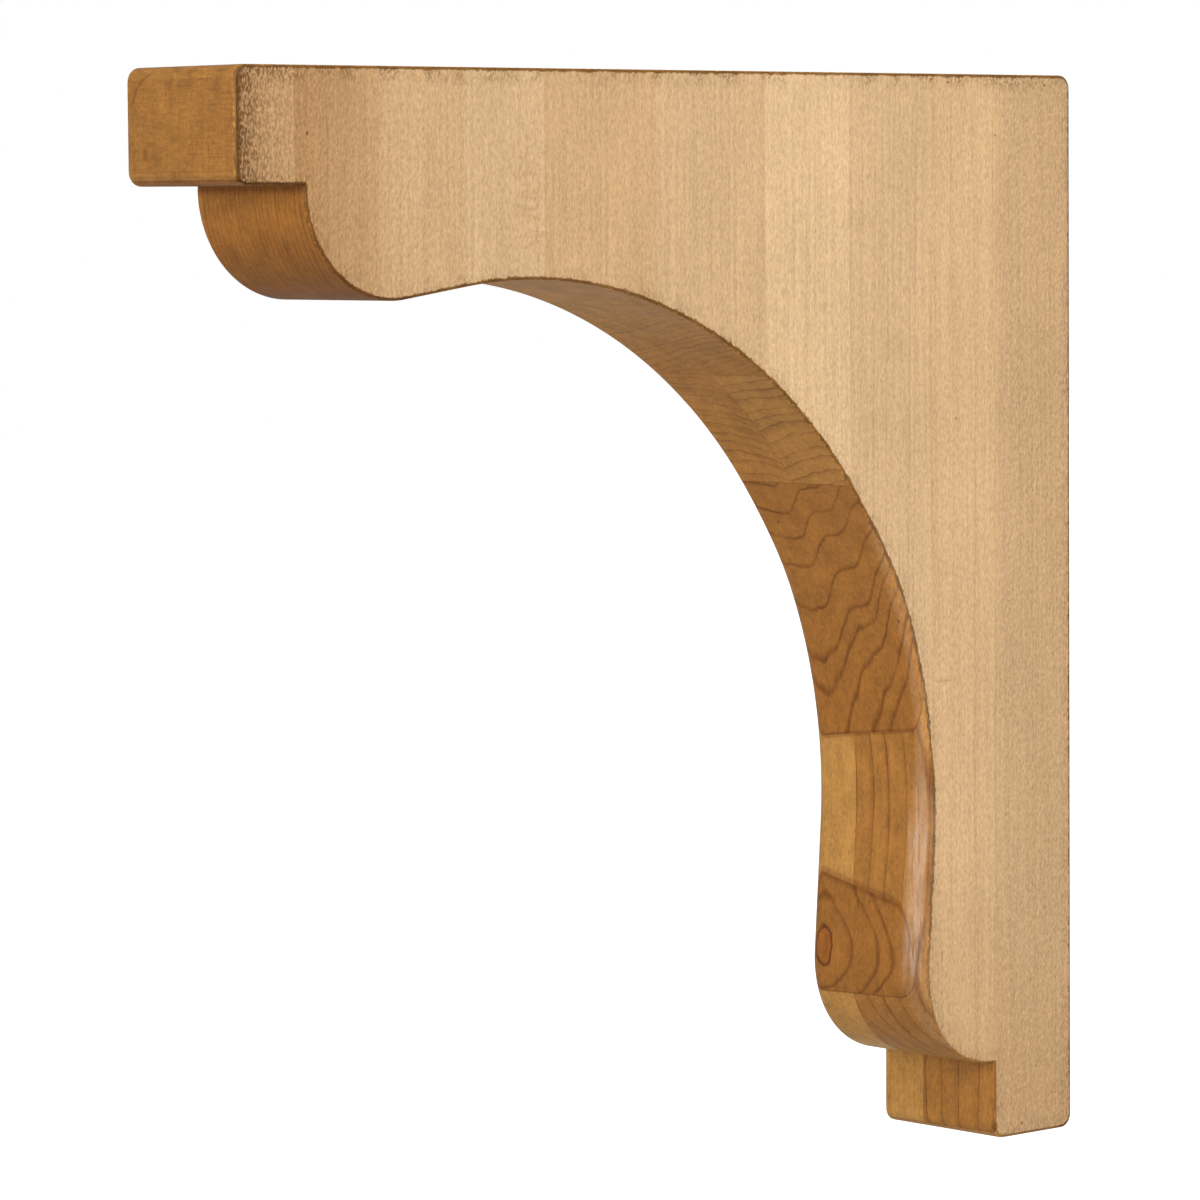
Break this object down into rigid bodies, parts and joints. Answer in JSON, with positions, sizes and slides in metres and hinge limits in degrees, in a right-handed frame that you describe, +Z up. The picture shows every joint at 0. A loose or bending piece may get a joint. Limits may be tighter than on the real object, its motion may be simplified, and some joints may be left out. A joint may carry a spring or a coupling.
{
  "type": "wooden corbel bracket",
  "caption": "Solid maple corbel bracket: a flat back and top joined by an arm and a leg, with a wide arch between round bulges and square end blocks.",
  "frame": {"origin": "middle of the flat back face that sits on the wall", "axes": "+Y into the wall, out of the back face; +Z up; +X across the thickness, the bracket's shortest side"},
  "size_m": [0.0444, 0.3048, 0.3048],
  "materials": {
    "maple": "satin clear coat over a honey-coloured glaze"
  },
  "bodies": {
    "root": {"corbel_bracket": "maple"}
  },
  "joints": []
}
